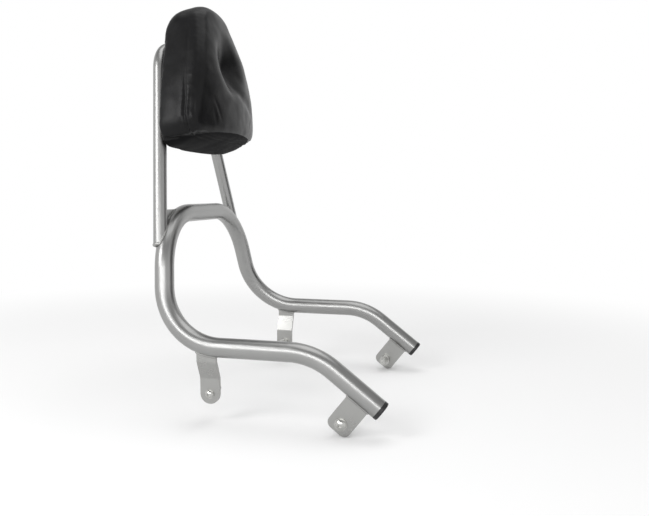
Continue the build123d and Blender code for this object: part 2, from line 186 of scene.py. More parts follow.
def leg_point(height, setback=0.0, side=-1.0):
    """Point on a leg's line at a height in millimetres, side -1 for the right leg, in metres."""
    rise = height - RUN_HEIGHT
    x = -REAR_REACH - tan(LEAN) * rise - setback
    y = RUN_HALF - tan(radians(LEG_SPLAY)) * rise
    return Vector((x, side * y, height)) * MM


PAD_ORIGIN = leg_point(PAD_BASE, HOOP_SETBACK) + PAD_NORMAL * PAD_SET * MM
PAD_ORIGIN.y = 0.0


class CushionSettings(bpy.types.PropertyGroup):
    """Stuffing, tuft and seams of the pad."""

    voxel: FloatProperty(
        name="Panel grid", description="Mesh size of the leather before stuffing",
        default=5 * MM, unit="LENGTH",
    )
    shrink: FloatProperty(
        name="Slack", description="How far the cover starts inside its stuffed size",
        default=0.5 * MM, unit="LENGTH",
    )
    pressure: FloatProperty(name="Pressure", description="Stuffing pressure", default=4.0)
    swell: FloatProperty(
        name="Swell", description="The furthest that the cover may move while it fills",
        default=5 * MM, unit="LENGTH",
    )
    tuft_pinch: FloatProperty(
        name="Tuft pinch", description="How far the tuft's thread pulls the leather in",
        default=5 * MM, unit="LENGTH",
    )
    sag: FloatProperty(
        name="Sag", description="How far the leather sags beside and below the tuft",
        default=6 * MM, unit="LENGTH",
    )
    shoulder: FloatProperty(
        name="Shoulder", description="How much fuller the top is at its rear and its front",
        default=5 * MM, unit="LENGTH",
    )
    panel: FloatProperty(
        name="Side panel", description="How far the side panels bulge between back and seam",
        default=2 * MM, unit="LENGTH",
    )
    crease: FloatProperty(
        name="Crease", description="Depth of the creases that run from the tuft",
        default=2.4 * MM, unit="LENGTH",
    )
    seam: FloatProperty(
        name="Seam", description="Depth of the seams between the panels",
        default=1.8 * MM, unit="LENGTH",
    )
    ripple: FloatProperty(
        name="Ripple", description="Height of the slack waves in the leather",
        default=0.5 * MM, unit="LENGTH",
    )
    leather: FloatVectorProperty(
        name="Leather", description="Colour of the leather", subtype="COLOR",
        default=linear("#0e0e0f"), min=0, max=1,
    )


class WeldSettings(bpy.types.PropertyGroup):
    """Weld beads where tubes, tabs and bars meet."""

    foot_radius: FloatProperty(
        name="Foot bead", description="Radius of the bead round the hoop's feet",
        default=2.2 * MM, unit="LENGTH",
    )
    plate_radius: FloatProperty(
        name="Plate bead", description="Radius of the beads along tabs and bars",
        default=1.7 * MM, unit="LENGTH",
    )
    gusset_radius: FloatProperty(
        name="Gusset bead", description="Radius of the beads along the gussets",
        default=1.2 * MM, unit="LENGTH",
    )
    pitch: FloatProperty(
        name="Ripple pitch", description="Distance between the ripples of a bead",
        default=2.4 * MM, unit="LENGTH",
    )
    ripple: FloatProperty(
        name="Ripple height", description="Ripple as a share of the bead",
        default=0.1, min=0, max=1, subtype="FACTOR",
    )


class FastenerSettings(bpy.types.PropertyGroup):
    """Threads on the free ends of the mounting bolts."""

    rear_pitch: FloatProperty(
        name="Rear pitch", description="Thread pitch of the rear bolts",
        default=1.0 * MM, unit="LENGTH",
    )
    front_pitch: FloatProperty(
        name="Front pitch", description="Thread pitch of the front bolts",
        default=1.25 * MM, unit="LENGTH",
    )
    steps: IntProperty(name="Steps", description="Points in one turn of a thread", default=20)


class FinishSettings(bpy.types.PropertyGroup):
    """Colours of the metal, plastic and wood."""

    plating: FloatVectorProperty(
        name="Plating", description="Colour of the plated tubes", subtype="COLOR",
        default=linear("#9d9d9c"), min=0, max=1,
    )
    tabs: FloatVectorProperty(
        name="Tabs", description="Colour of the flat steel", subtype="COLOR",
        default=linear("#a4a4a2"), min=0, max=1,
    )
    zinc: FloatVectorProperty(
        name="Zinc", description="Colour of the fasteners", subtype="COLOR",
        default=linear("#b9b9b6"), min=0, max=1,
    )
    plug: FloatVectorProperty(
        name="Plug", description="Colour of the end plugs", subtype="COLOR",
        default=linear("#1a1a1b"), min=0, max=1,
    )
    veneer: FloatVectorProperty(
        name="Veneer", description="Colour of the plywood", subtype="COLOR",
        default=linear("#b08d63"), min=0, max=1,
    )


class StageSettings(bpy.types.PropertyGroup):
    """Floor, lights and camera."""

    floor: FloatVectorProperty(
        name="Floor", description="Colour of the floor", subtype="COLOR",
        default=linear("#f2f2f2"), min=0, max=1,
    )
    card: FloatVectorProperty(
        name="Card", description="Colour of the felt card that the tubes mirror", subtype="COLOR",
        default=linear("#5c5c5c"), min=0, max=1,
    )
    key: FloatProperty(
        name="Key light", description="Power of the main light", default=11.0, unit="POWER",
    )
    side: FloatProperty(
        name="Side light", description="Power of the light on the left", default=9.0, unit="POWER",
    )
    fill: FloatProperty(
        name="Fill light", description="Power of the overhead light", default=11.0, unit="POWER",
    )
    surround: FloatProperty(
        name="Surround", description="Brightness of the room on the object", default=0.64,
    )
    zenith: FloatProperty(
        name="Ceiling", description="Brightness of the room's ceiling in the metal", default=0.38,
    )


def only(obj):
    """Makes one object the selected and active one."""
    bpy.ops.object.select_all(action="DESELECT")
    obj.select_set(True)
    bpy.context.view_layer.objects.active = obj


def copy_of(node, name):
    """New object with its own copy of a node's mesh, its loose triangles merged."""
    piece = bpy.data.objects.new(name, frame["nodes"][node].data.copy())
    bpy.context.collection.objects.link(piece)
    only(piece)
    bpy.ops.object.mode_set(mode="EDIT")
    bpy.ops.mesh.select_all(action="SELECT")
    bpy.ops.mesh.remove_doubles(threshold=NODE_MERGE * MM)
    bpy.ops.object.mode_set(mode="OBJECT")
    return piece


def pad_local(point):
    """Place on the pad in millimetres: across, up and deep."""
    offset = (point - PAD_ORIGIN) / MM
    return offset.y, offset.dot(PAD_UP), offset.dot(PAD_NORMAL)


def bump(distance, width):
    """Bell curve of height 1."""
    return exp(-((distance / width) ** 2))


def ramp(value, low, high):
    """Smooth step from 0 at low to 1 at high."""
    share = min(max((value - low) / (high - low), 0.0), 1.0)
    return share * share * (3 - 2 * share)


def select_faces(piece, wanted):
    """Opens a piece for editing with only the wanted faces selected."""
    only(piece)
    bpy.ops.object.mode_set(mode="EDIT")
    bpy.ops.mesh.select_mode(type="FACE")
    bpy.ops.mesh.select_all(action="DESELECT")
    bpy.ops.object.mode_set(mode="OBJECT")
    for face in piece.data.polygons:
        face.select = wanted(face)
    bpy.ops.object.mode_set(mode="EDIT")


def split_pocket(piece):
    """Cuts the flat back ring out, and returns the capped cover and the pocket as a cutter."""

    def on_back(face):
        flat = abs(pad_local(face.center)[2]) < BACK_DEPTH
        return flat and face.normal.dot(PAD_NORMAL) < BACK_TURN

    select_faces(piece, on_back)
    bpy.ops.mesh.delete(type="FACE")
    bpy.ops.mesh.separate(type="LOOSE")
    bpy.ops.object.mode_set(mode="OBJECT")
    shells = sorted(bpy.context.selected_objects, key=lambda obj: obj.dimensions.length)
    if len(shells) != 2:
        raise RuntimeError(f"the pad came apart into {len(shells)} shells")
    pocket, cover = shells
    for shell in shells:
        only(shell)
        bpy.ops.object.mode_set(mode="EDIT")
        bpy.ops.mesh.select_mode(type="EDGE")
        bpy.ops.mesh.select_all(action="DESELECT")
        bpy.ops.mesh.select_non_manifold()
        if shell is pocket:
            # The cutter stands out of the back, so that it cuts clean through
            back = -PAD_NORMAL * POCKET_CLEAR * MM
            bpy.ops.mesh.extrude_region_move(TRANSFORM_OT_translate={"value": back})
        bpy.ops.mesh.edge_face_add()
        bpy.ops.mesh.select_all(action="SELECT")
        bpy.ops.mesh.normals_make_consistent(inside=False)
        bpy.ops.object.mode_set(mode="OBJECT")
    return cover, pocket


def tuft_distance(across, up):
    """Distance from the tuft on the pad's face."""
    return (across**2 + (up - TUFT_HEIGHT) ** 2) ** 0.5


def applied(piece, name, kind, **settings):
    """Puts a modifier on a piece and applies it."""
    only(piece)
    modifier = piece.modifiers.new(name, kind)
    for key, value in settings.items():
        setattr(modifier, key, value)
    bpy.ops.object.modifier_apply(modifier=modifier.name)


def inflate(cover, settings, held):
    """Runs the stuffing pressure on the cover with its back and its tuft held."""
    only(cover)
    cloth = cover.modifiers.new("Stuffing", "CLOTH")
    cloth.settings.use_pressure = True
    cloth.settings.uniform_pressure_force = settings.pressure
    cloth.settings.vertex_group_mass = held.name
    cloth.settings.effector_weights.gravity = 0
    cloth.settings.tension_stiffness = 30
    cloth.settings.compression_stiffness = 30
    cloth.settings.shear_stiffness = 20
    cloth.settings.bending_stiffness = 6
    cloth.settings.quality = 6
    cloth.point_cache.frame_start = 1
    cloth.point_cache.frame_end = STUFFING_FRAMES
    for number in range(1, STUFFING_FRAMES + 1):
        bpy.context.scene.frame_set(number)
    bpy.ops.object.modifier_apply(modifier=cloth.name)
    bpy.context.scene.frame_set(1)


def stuff(cover, settings):
    """Fills the cover: an even grid, slack, the tuft's pull, pressure and a cap on the swell."""
    only(cover)
    cover.data.remesh_voxel_size = settings.voxel
    bpy.ops.object.voxel_remesh()
    held = cover.vertex_groups.new(name="held")
    mesh = cover.data
    normals = [vertex.normal.copy() for vertex in mesh.vertices]
    for vertex, normal in zip(mesh.vertices, normals):
        across, up, depth = pad_local(vertex.co)
        tuft = bump(tuft_distance(across, up), TUFT_WIDTH) * ramp(depth, *FACE_DEPTH)
        loose = ramp(depth, *HELD_DEPTH) * (1 - tuft)
        held.add([vertex.index], 1 - loose, "REPLACE")
        vertex.co -= normal * settings.shrink * loose + PAD_NORMAL * settings.tuft_pinch * tuft
    start = [vertex.co.copy() for vertex in mesh.vertices]
    inflate(cover, settings, held)
    for vertex, place in zip(cover.data.vertices, start):
        move = vertex.co - place
        if move.length > settings.swell:
            vertex.co = place + move.normalized() * settings.swell
    applied(cover, "Even", "SMOOTH", factor=0.5, iterations=3)
    applied(cover, "Finer", "SUBSURF", levels=2, render_levels=2)


def crease_depth(across, up):
    """Depth of the valleys from the tuft and of the slits by the corners, 1 at the deepest."""
    total = 0.0
    for side, share in VALLEYS:
        reach = across * side
        line = VALLEY_START - VALLEY_FALL * reach + VALLEY_CURVE * reach**2
        fade = ramp(reach, *VALLEY_BEGIN) * (1 - ramp(reach, *VALLEY_END))
        total += share * fade * bump(up - line, VALLEY_WIDTH)
    for start, lean, foot, begin, end, share in SLITS:
        aside = abs(across) - start - lean * (up - foot)
        total += share * bump(aside, SLIT_WIDTH) * ramp(up, *begin) * (1 - ramp(up, *end))
    return total


def hem_height(depth):
    """Height of the seam round the underside, which rises towards the front."""
    return HEM_HEIGHT + HEM_RISE * (depth - SEAM_DEPTH) * ramp(depth, *HEM_BEND)


def seam_depth(across, up, depth):
    """Depth of the seams and folds on the flanks, 1 at their deepest, with the lips beside them."""
    aside = depth - (SEAM_DEPTH + SEAM_WANDER * sin(up / SEAM_WAVE))
    lower = ramp(up, *SEAM_FOOT) * (1 - SEAM_FADED * ramp(up, *SEAM_FADE))
    lower *= 1 - ramp(up, *SEAM_END)
    lips = bump(aside - LIP_GAP, LIP_WIDTH) + bump(aside + LIP_GAP, LIP_WIDTH)
    puckers = PUCKER_SHARE * sin(up * PUCKER_RATE) * bump(abs(aside) - PUCKER_GAP, LIP_WIDTH)
    total = lower * (bump(aside, SEAM_WIDTH) - LIP_SHARE * lips + puckers)
    folds = ramp(up, *FOLD_FOOT) * (1 - ramp(up, *FOLD_END))
    for gap, share in FOLDS:
        wander = FOLD_WANDER * sin(up / FOLD_WAVE + gap)
        total += folds * share * bump(aside - gap - wander, FOLD_WIDTH)
    over = up - hem_height(depth)
    below = ramp(abs(across), *HEM_SIDE) * ramp(depth, *HEM_BACK) * (1 - ramp(depth, *HEM_FRONT))
    hem = HEM_SHARE * bump(over, SEAM_WIDTH) - HEM_LIP * bump(over - LIP_GAP, LIP_WIDTH)
    return total + below * hem


def shape_cover(cover, settings):
    """Fills out the shoulders and side panels, and presses in the sag, creases, waves and seams."""
    mesh = cover.data
    normals = [vertex.normal.copy() for vertex in mesh.vertices]
    for vertex, normal in zip(mesh.vertices, normals):
        across, up, depth = pad_local(vertex.co)
        off_back = ramp(depth, *OFF_BACK)
        facing = normal.dot(PAD_NORMAL)
        face = ramp(facing, *FACE_TURN) * ramp(depth, *FACE_DEPTH)
        flank = 1 - ramp(abs(facing), *FLANK_TURN)
        long_wave = noise.noise(vertex.co / (LONG_WAVE * MM))
        short_wave = noise.noise(vertex.co / (SHORT_WAVE * MM))
        push = settings.ripple * (long_wave + SHORT_SHARE * short_wave) * off_back
        rise = up - SHOULDER_LEAN * depth
        for height, tall, place, deep, share in SHOULDERS:
            fuller = bump(rise - height, tall) * bump(depth - place, deep)
            push += share * settings.shoulder * fuller
        sides = ramp(up, *PANEL_FOOT) * (1 - ramp(up, *PANEL_END)) * flank
        push += settings.panel * bump(depth - PANEL_DEPTH, PANEL_WIDTH) * sides
        sag = bump(across - SAG_ACROSS, SAG_WIDTH) * bump(up - SAG_UP, SAG_HEIGHT)
        push -= (settings.sag * sag + settings.crease * crease_depth(across, up)) * face
        push -= settings.seam * seam_depth(across, up, depth) * flank * off_back
        vertex.co += normal * push


def cut_pocket(cover, pocket):
    """Cuts the board's pocket into the back of the cover."""
    applied(cover, "Pocket", "BOOLEAN", operation="DIFFERENCE", solver="EXACT", object=pocket)
    bpy.data.objects.remove(pocket)


def even_path(points, step, closed):
    """The same line with its points an even step apart."""
    line = list(points) + ([points[0]] if closed else [])
    spans = [(b - a).length for a, b in zip(line, line[1:])]
    count = max(2, round(sum(spans) / step))
    result = []
    index, passed = 0, 0.0
    for number in range(count if closed else count + 1):
        target = sum(spans) * number / count
        while index < len(spans) - 1 and passed + spans[index] < target:
            passed += spans[index]
            index += 1
        share = (target - passed) / spans[index] if spans[index] else 0.0
        result.append(line[index].lerp(line[index + 1], share))
    return result


def rod(name, lines, radius, roundness, closed=False, swell=None):
    """Mesh rod along each line of points, its thickness following swell(distance)."""
    curve = bpy.data.curves.new(name, "CURVE")
    curve.dimensions = "3D"
    curve.bevel_depth = radius
    curve.bevel_resolution = roundness
    curve.use_fill_caps = not closed
    for line in lines:
        spline = curve.splines.new("POLY")
        spline.points.add(len(line) - 1)
        spline.use_cyclic_u = closed
        distance = 0.0
        for index, point in enumerate(line):
            if index:
                distance += (point - line[index - 1]).length
            spline.points[index].co = (*point, 1.0)
            spline.points[index].radius = swell(distance) if swell else 1.0
    piece = bpy.data.objects.new(name, curve)
    bpy.context.collection.objects.link(piece)
    only(piece)
    bpy.ops.object.convert(target="MESH")
    bpy.ops.object.mode_set(mode="EDIT")
    bpy.ops.mesh.select_all(action="SELECT")
    bpy.ops.mesh.remove_doubles(threshold=ROD_MERGE * MM)
    bpy.ops.mesh.normals_make_consistent(inside=False)
    bpy.ops.object.mode_set(mode="OBJECT")
    bpy.ops.object.shade_smooth_by_angle(angle=SMOOTH_ANGLE)
    return piece


def foot_line(side):
    """Line round a hoop foot where it meets the carrier tube."""
    carrier = frame["nodes"]["carrier_tube"]
    top = leg_point(FOOT_CAST, HOOP_SETBACK, side)
    foot = leg_point(HOOP_FOOT, HOOP_SETBACK, side)
    axis = (top - foot).normalized()
    first = axis.cross(Vector((0, 1, 0))).normalized()
    second = axis.cross(first)
    line = []
    for number in range(FOOT_STEPS):
        turn = 2 * pi * number / FOOT_STEPS
        rim = (first * cos(turn) + second * sin(turn)) * (HOOP_R - BEAD_INSET) * MM
        met, place = carrier.ray_cast(top + rim, -axis)[:2]
        low = foot + rim
        if not met or (place - low).dot(axis) < 0:
            place = low
        line.append(place)
    return line


def plate_line(tube, centre, along, across, out, closed=True):
    """Line round a flat bar of half sizes along and across, thrown along out onto the tube."""
    corners = [along + across, along - across, -along - across, -along + across]
    corners = corners + corners[:1] if closed else corners
    line = []
    for a, b in zip(corners, corners[1:]):
        for number in range(EDGE_STEPS):
            met, place = tube.ray_cast(centre + a.lerp(b, number / EDGE_STEPS), out)[:2]
            if met:
                line.append(place)
    return line


def tab_lines():
    """Lines round the upper ends of the rear and front tabs, where they meet the carrier tube."""
    carrier = frame["nodes"]["carrier_tube"]
    drop = radians(FRONT_DROP)
    leg_axis = Vector((cos(drop), 0, -sin(drop)))
    leg_up = Vector((sin(drop), 0, cos(drop)))
    across = Vector((0, TAB_THICK / 2 * MM, 0))
    lines = []
    for side in SIDES:
        rear = Vector((0, side * RUN_HALF, RUN_HEIGHT - PLATE_CAST)) * MM
        along = Vector((REAR_TAB_WIDTH / 2 * MM, 0, 0))
        lines.append(plate_line(carrier, rear, along, across, Vector((0, 0, 1))))
        corner = Vector((FRONT_REACH, side * RUN_HALF, RUN_HEIGHT)) * MM
        front = corner + leg_axis * FRONT_TAB_ALONG * MM - leg_up * PLATE_CAST * MM
        along = leg_axis * FRONT_TAB_WIDTH / 2 * MM
        lines.append(plate_line(carrier, front, along, across, leg_up))
    return lines


def bar_lines():
    """Lines round the ends of the cross bars, where they meet the hoop's legs."""
    hoop = frame["nodes"]["backrest_hoop"]
    up = PAD_UP * BAR_WIDTH / 2 * MM
    deep = PAD_NORMAL * BAR_HALF * MM
    lines = []
    for height in BAR_HEIGHTS:
        for side in SIDES:
            base = leg_point(height, HOOP_SETBACK, side)
            base += PAD_NORMAL * (BAR_FACE + BAR_HALF) * MM
            base.y -= side * PLATE_CAST * MM
            lines.append(plate_line(hoop, base, deep, up, Vector((0, side, 0)), closed=False))
    return lines


def gusset_lines(side):
    """Lines along both faces of a gusset, where it meets the hoop's leg and the arch."""
    carrier = frame["nodes"]["carrier_tube"]
    hoop = frame["nodes"]["backrest_hoop"]
    top = leg_point(GUSSET_TOP, HOOP_SETBACK, side)
    inward = Vector((0, -side, 0))
    clear = (HOOP_R + GUSSET_CAST) * MM
    lines = []
    for face in (-1, 1):
        middle = top + PAD_NORMAL * (HOOP_SETBACK / 2 + face * GUSSET_THICK / 2) * MM
        leg, arch = [], []
        for number in range(GUSSET_LEG):
            start = middle + inward * clear - PAD_UP * number * MM
            met, place = hoop.ray_cast(start, -inward)[:2]
            if met and not carrier.ray_cast(start, -inward, distance=clear)[0]:
                leg.append(place)
        for number in range(GUSSET_ARCH):
            start = middle + inward * (HOOP_R + GUSSET_START + number) * MM
            met, place = carrier.ray_cast(start, -PAD_UP)[:2]
            if met and (start - place).length < GUSSET_DROP * MM:
                arch.append(place)
        lines += [line for line in (leg, arch) if len(line) >= FEWEST_POINTS]
    return lines


def thread_line(bolt, pitch, steps):
    """Helix of the thread on the free length of a bolt, which its mount gives."""
    middle = Vector(bolt["pos_m"])
    axis = Vector(bolt["axis"])
    radius = bolt["dims"]["r_mm"] * MM
    length = bolt["dims"]["length_mm"] * MM - pitch
    first = axis.orthogonal().normalized()
    second = axis.cross(first)
    line = []
    for number in range(round(length / pitch * steps)):
        turn = 2 * pi * number / steps
        along = axis * (number / steps * pitch - length / 2)
        rim = (first * cos(turn) + second * sin(turn)) * radius
        line.append(middle + along + rim)
    return line


def add_node(tree, kind, inputs=None, **settings):
    """Adds a node, sets its settings, and links or fills its inputs."""
    node = tree.nodes.new(kind)
    for name, value in settings.items():
        setattr(node, name, value)
    for socket, value in (inputs or {}).items():
        if isinstance(value, bpy.types.NodeSocket):
            tree.links.new(value, node.inputs[socket])
        else:
            node.inputs[socket].default_value = value
    return node


def new_material(name):
    """Empty node material and its tree."""
    material = bpy.data.materials.new(name)
    material.use_nodes = True
    material.node_tree.nodes.clear()
    return material, material.node_tree


def rgba(colour, scale=1.0):
    """Colour with alpha, made lighter or darker."""
    return (*[min(channel * scale, 1.0) for channel in colour], 1.0)


def seen_ray(tree):
    """1 for the rays that show the background: to the camera, in gloss and through glass."""
    rays = add_node(tree, "ShaderNodeLightPath").outputs
    seen = rays["Is Camera Ray"]
    for kind in ("Is Glossy Ray", "Is Transmission Ray"):
        both = add_node(tree, "ShaderNodeMath", {0: seen, 1: rays[kind]}, operation="MAXIMUM")
        seen = both.outputs[0]
    return seen


def paint(obj, material):
    """Gives an object one material."""
    obj.data.materials.clear()
    obj.data.materials.append(material)


def grained_leather(name, colour, sheen, low, high):
    """Black upholstery leather: fine pebbled grain and a soft sheen that is duller in the slack."""
    material, tree = new_material(name)
    place = add_node(tree, "ShaderNodeTexCoord").outputs["Object"]
    # Pebbles of 1.6 mm, twice the real grain, so that they show
    pebble = add_node(
        tree, "ShaderNodeTexVoronoi", {"Vector": place, "Scale": 1 / (1.6 * MM)},
        feature="SMOOTH_F1",
    )
    # Soft wrinkles about 22 mm long
    wrinkle = add_node(
        tree, "ShaderNodeTexNoise",
        {"Vector": place, "Scale": 1 / (22 * MM), "Detail": 4.0, "Roughness": 0.55},
    )
    height = add_node(
        tree, "ShaderNodeMath", {0: wrinkle.outputs["Fac"], 1: 3.0, 2: pebble.outputs["Distance"]},
        operation="MULTIPLY_ADD",
    )
    relief = add_node(
        tree, "ShaderNodeBump",
        {"Height": height.outputs[0], "Distance": 0.12 * MM, "Strength": 0.5},
    )
    # Colour from the wrinkles' noise: a random tone, and also painted shade, darker in the
    # wrinkles' valleys and lighter on their raised crests
    tone = add_node(
        tree, "ShaderNodeMix",
        {"Factor": wrinkle.outputs["Fac"], "A": rgba(colour, 0.75), "B": rgba(colour, 1.35)},
        data_type="RGBA",
    )
    gloss = add_node(
        tree, "ShaderNodeMapRange",
        {
            "Value": wrinkle.outputs["Fac"], "From Min": 0.3, "From Max": 0.7,
            "To Min": low, "To Max": high,
        },
    )
    shader = add_node(
        tree, "ShaderNodeBsdfPrincipled",
        {
            "Base Color": tone.outputs["Result"], "Roughness": gloss.outputs["Result"],
            "Normal": relief.outputs["Normal"], "Specular IOR Level": sheen,
        },
    )
    add_node(tree, "ShaderNodeOutputMaterial", {"Surface": shader.outputs["BSDF"]})
    return material


def plated_steel(name, colour, low, high, mark):
    """Plated steel: grey satin shine with a clean stripe of light, duller where it has hazed."""
    material, tree = new_material(name)
    place = add_node(tree, "ShaderNodeTexCoord").outputs["Object"]
    # Patches of haze about 30 mm wide
    haze = add_node(
        tree, "ShaderNodeTexNoise",
        {"Vector": place, "Scale": 1 / (30 * MM), "Detail": 4.0, "Roughness": 0.5},
    )
    # Polishing marks, drawn coarser than the grit that left them, so that they show
    scratch = add_node(
        tree, "ShaderNodeTexNoise",
        {"Vector": place, "Scale": 1 / (mark * MM), "Detail": 2.0, "Roughness": 0.5},
    )
    gloss = add_node(
        tree, "ShaderNodeMapRange",
        {
            "Value": haze.outputs["Fac"], "From Min": 0.3, "From Max": 0.7,
            "To Min": low, "To Max": high,
        },
    )
    tone = add_node(
        tree, "ShaderNodeMix",
        {"Factor": haze.outputs["Fac"], "A": rgba(colour, 0.94), "B": rgba(colour, 1.06)},
        data_type="RGBA",
    )
    relief = add_node(
        tree, "ShaderNodeBump",
        {"Height": scratch.outputs["Fac"], "Distance": 0.002 * MM, "Strength": 0.12},
    )
    shader = add_node(
        tree, "ShaderNodeBsdfPrincipled",
        {
            "Base Color": tone.outputs["Result"], "Metallic": 1.0,
            "Roughness": gloss.outputs["Result"], "Normal": relief.outputs["Normal"],
        },
    )
    add_node(tree, "ShaderNodeOutputMaterial", {"Surface": shader.outputs["BSDF"]})
    return material


def moulded_plastic(colour):
    """Black moulded polyethylene: waxy half gloss with a fine moulded texture."""
    material, tree = new_material("black_moulded_polyethylene")
    place = add_node(tree, "ShaderNodeTexCoord").outputs["Object"]
    # Moulded grain of 0.7 mm, coarser than the mould's own, so that it shows
    grain = add_node(
        tree, "ShaderNodeTexNoise", {"Vector": place, "Scale": 1 / (0.7 * MM), "Detail": 3.0},
    )
    relief = add_node(
        tree, "ShaderNodeBump",
        {"Height": grain.outputs["Fac"], "Distance": 0.05 * MM, "Strength": 0.5},
    )
    gloss = add_node(
        tree, "ShaderNodeMapRange", {"Value": grain.outputs["Fac"], "To Min": 0.38, "To Max": 0.52},
    )
    shader = add_node(
        tree, "ShaderNodeBsdfPrincipled",
        {
            "Base Color": rgba(colour), "Roughness": gloss.outputs["Result"],
            "Normal": relief.outputs["Normal"], "IOR": 1.51,
        },
    )
    add_node(tree, "ShaderNodeOutputMaterial", {"Surface": shader.outputs["BSDF"]})
    return material


def plywood(colour):
    """Birch plywood: long pale grain on its faces and the glue lines of its plies on the edge."""
    material, tree = new_material("birch_plywood")
    place = add_node(tree, "ShaderNodeTexCoord").outputs["Object"]
    turned = add_node(
        tree, "ShaderNodeMapping", {"Vector": place, "Rotation": (0.0, LEAN, 0.0)},
    )
    # Plies of 1.8 mm
    plies = add_node(
        tree, "ShaderNodeTexWave",
        {"Vector": turned.outputs["Vector"], "Scale": pi / (10 * 1.8 * MM)}, bands_direction="X",
    )
    # Grain 2.5 mm wide, drawn out along the board
    long_grain = add_node(
        tree, "ShaderNodeMapping", {"Vector": turned.outputs["Vector"], "Scale": (1.0, 0.12, 1.0)},
    )
    grain = add_node(
        tree, "ShaderNodeTexNoise",
        {
            "Vector": long_grain.outputs["Vector"], "Scale": 1 / (2.5 * MM),
            "Detail": 4.0, "Roughness": 0.6,
        },
    )
    veins = add_node(
        tree, "ShaderNodeMix",
        {"Factor": grain.outputs["Fac"], "A": rgba(colour, 0.6), "B": rgba(colour, 1.2)},
        data_type="RGBA",
    )
    tone = add_node(
        tree, "ShaderNodeMix",
        {"Factor": plies.outputs["Fac"], "A": rgba(colour, 0.55), "B": veins.outputs["Result"]},
        data_type="RGBA",
    )
    shader = add_node(
        tree, "ShaderNodeBsdfPrincipled", {"Base Color": tone.outputs["Result"], "Roughness": 0.62},
    )
    add_node(tree, "ShaderNodeOutputMaterial", {"Surface": shader.outputs["BSDF"]})
    return material


class SISSYBAR_OT_cushion(bpy.types.Operator):
    """Stuffs the leather pad, with its tuft, creases, seams and the pocket of its board"""

    bl_idname = "sissybar.cushion"
    bl_label = "Stuffed Cushion"

    def execute(self, context):
        settings = context.scene.sissy_cushion
        cover, pocket = split_pocket(copy_of("pad_cushion", "stuffed_cushion"))
        stuff(cover, settings)
        shape_cover(cover, settings)
        cut_pocket(cover, pocket)
        only(cover)
        bpy.ops.object.shade_smooth_by_angle(angle=SMOOTH_ANGLE)
        cover.name = "stuffed_cushion"
        cover.vertex_groups.clear()
        colour = settings.leather
        grain = grained_leather("grained_black_leather", colour, sheen=0.18, low=0.29, high=0.4)
        shaded_copy = grained_leather("shaded_underside_leather", colour, sheen=0.08, low=0.66, high=0.78)
        paint(cover, grain)
        # The underside gets a rougher copy of the leather with less sheen, as painted shade under
        # the pad
        cover.data.materials.append(shaded_copy)
        for face in cover.data.polygons:
            _, up, depth = pad_local(face.center)
            underneath = face.normal.dot(PAD_UP) < UNDER_TURN and up < hem_height(depth)
            face.material_index = int(underneath)
        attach(cover, "root")
        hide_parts("pad_cushion")
        return {"FINISHED"}


class SISSYBAR_OT_welds(bpy.types.Operator):
    """Lays the weld beads of the hoop's feet, the tabs, the cross bars and the gussets"""

    bl_idname = "sissybar.welds"
    bl_label = "Weld Beads"

    def execute(self, context):
        settings = context.scene.sissy_weld
        colour = context.scene.sissy_finish.tabs
        metal = plated_steel("plated_weld_steel", colour, low=0.34, high=0.46, mark=0.8)
        step = settings.pitch / BEAD_STEPS

        def ripple(distance):
            wave = abs(sin(pi * distance / settings.pitch))
            return 1 - settings.ripple / 2 + settings.ripple * wave

        feet = [foot_line(side) for side in SIDES]
        gussets = [line for side in SIDES for line in gusset_lines(side)]
        beads = (
            ("hoop_foot_welds", feet, settings.foot_radius, True),
            ("tab_welds", tab_lines(), settings.plate_radius, True),
            ("cross_bar_welds", bar_lines(), settings.plate_radius * BAR_BEAD, False),
            ("gusset_welds", gussets, settings.gusset_radius, False),
        )
        for name, lines, radius, closed in beads:
            lines = [even_path(line, step, closed) for line in lines]
            bead = rod(name, lines, radius, BEAD_ROUNDNESS, closed=closed, swell=ripple)
            paint(bead, metal)
            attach(bead, "root")
        return {"FINISHED"}


class SISSYBAR_OT_threads(bpy.types.Operator):
    """Cuts the threads on the free ends of the four mounting bolts"""

    bl_idname = "sissybar.threads"
    bl_label = "Bolt Threads"

    def execute(self, context):
        settings = context.scene.sissy_fastener
        colour = context.scene.sissy_finish.zinc
        metal = plated_steel("zinc_plated_thread", colour, low=0.26, high=0.38, mark=0.6)
        mounts = {mount["name"]: mount for mount in frame["record"]["mounts"]}
        for end, pitch in (("rear", settings.rear_pitch), ("front", settings.front_pitch)):
            bolts = [mounts[f"{end}_{side}_bolt"] for side in ("right", "left")]
            lines = [thread_line(bolt, pitch, settings.steps) for bolt in bolts]
            thread = rod(f"{end}_bolt_threads", lines, pitch * THREAD_SHARE, roundness=0)
            paint(thread, metal)
            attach(thread, "root")
        return {"FINISHED"}


class SISSYBAR_OT_finishes(bpy.types.Operator):
    """Gives every solid of the part the finish of its material"""

    bl_idname = "sissybar.finishes"
    bl_label = "Finishes"

    def execute(self, context):
        finish = context.scene.sissy_finish
        # Steel by slot: name, colour, roughness from and to, width of the polishing marks in mm
        finishes = {
            "bar_chrome": plated_steel("polished_plated_tube", finish.plating, 0.3, 0.36, 0.5),
            "tab_steel": plated_steel("satin_plated_flat_steel", finish.tabs, 0.26, 0.38, 0.7),
            "fastener_steel": plated_steel("zinc_plated_fastener", finish.zinc, 0.2, 0.32, 0.6),
            "plug_black": moulded_plastic(finish.plug),
            "board_plywood": plywood(finish.veneer),
        }
        for row in frame["record"]["subparts"]:
            if row["material_slot"] in finishes:
                paint(frame["nodes"][row["node"]], finishes[row["material_slot"]])
        return {"FINISHED"}


def flat_panel(name, size, **place):
    """Square sheet of the studio, at the origin with its place in its mesh."""
    bpy.ops.object.select_all(action="DESELECT")
    bpy.ops.mesh.primitive_plane_add(size=size, **place)
    panel = bpy.context.object
    panel.name = name
    bpy.ops.object.transform_apply(location=True, rotation=True, scale=True)
    return panel


